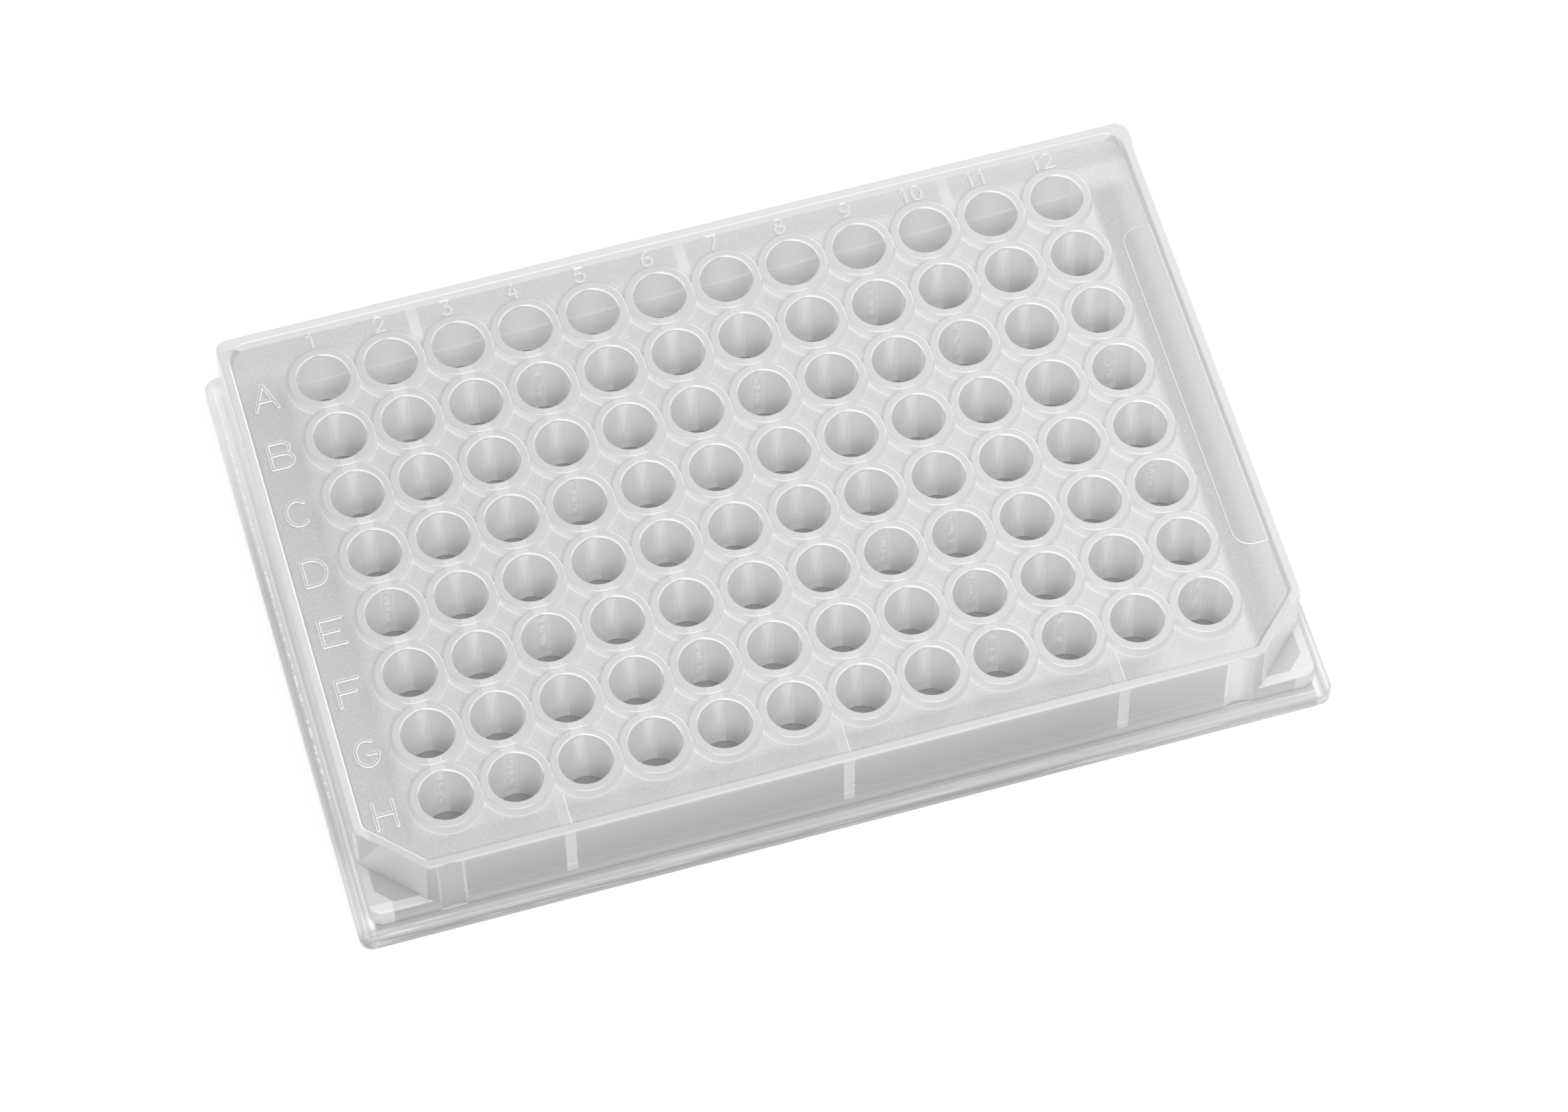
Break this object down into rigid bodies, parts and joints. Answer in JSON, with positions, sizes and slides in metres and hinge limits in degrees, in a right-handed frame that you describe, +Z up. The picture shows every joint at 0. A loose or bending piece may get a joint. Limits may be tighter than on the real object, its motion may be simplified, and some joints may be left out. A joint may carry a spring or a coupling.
{
  "type": "96-well microplate",
  "caption": "Shallow one-piece lab microplate: a sunk deck carries a grid of round flat-bottomed wells with raised collars, inside a stepped wall with two cut corners.",
  "frame": {"origin": "centre of the footprint, on the surface that the skirt stands on", "axes": "+X along the numbered columns from 1 to 12, +Y towards row A at the back, +Z up; the two cut corners are at -Y"},
  "size_m": [0.1278, 0.0854, 0.0143],
  "materials": {
    "natural_polypropylene": "natural translucent polypropylene, satin on the deck and wall, smoother on rims and collars"
  },
  "bodies": {
    "root": {"plate": "natural_polypropylene"}
  },
  "joints": []
}
